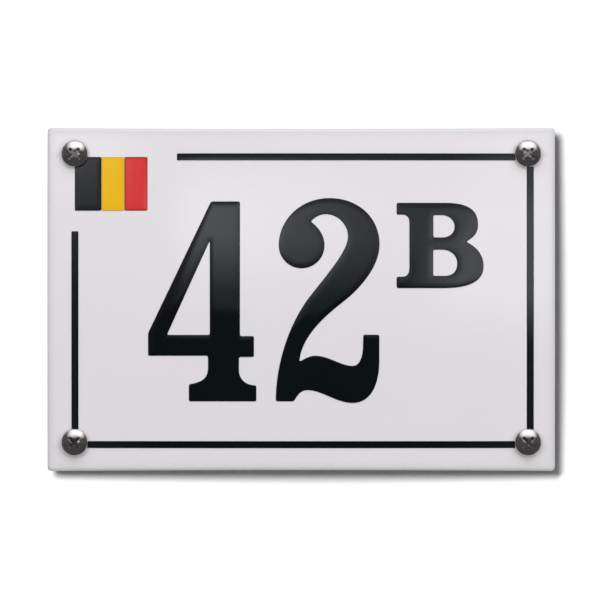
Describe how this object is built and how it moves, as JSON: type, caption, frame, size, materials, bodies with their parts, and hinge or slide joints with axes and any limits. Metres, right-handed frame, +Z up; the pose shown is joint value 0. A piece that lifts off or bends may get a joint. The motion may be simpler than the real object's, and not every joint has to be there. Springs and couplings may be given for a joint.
{
  "type": "house number plaque",
  "caption": "Domed enamelled steel house number plaque with raised black figures, thin border line, small flag of three fields and pan head screws at its corners.",
  "frame": {"origin": "centre of the screw hole pattern, on the wall that the back of the plate's corners meets", "axes": "+X to the right, along the long side; +Z up; +Y into the wall, so the face looks along -Y"},
  "size_m": [0.15, 0.0331, 0.1014],
  "materials": {
    "white_enamel": "glossy white vitreous enamel fired on sheet steel, with a dark ground coat behind",
    "black_enamel": "glossy black vitreous enamel, raised, with flowed edges",
    "yellow_enamel": "glossy yellow vitreous enamel, raised",
    "red_enamel": "glossy red vitreous enamel, raised",
    "screw_steel": "polished stainless steel, seen dark by reflection"
  },
  "bodies": {
    "root": {"plate": "white_enamel", "digit_four": "black_enamel", "digit_two": "black_enamel", "letter_b": "black_enamel", "border_top": "black_enamel", "border_right": "black_enamel", "border_bottom": "black_enamel", "border_left": "black_enamel", "flag_black": "black_enamel", "flag_yellow": "yellow_enamel", "flag_red": "red_enamel", "screw_top_left": "screw_steel", "screw_top_right": "screw_steel", "screw_bottom_left": "screw_steel", "screw_bottom_right": "screw_steel"}
  },
  "joints": []
}
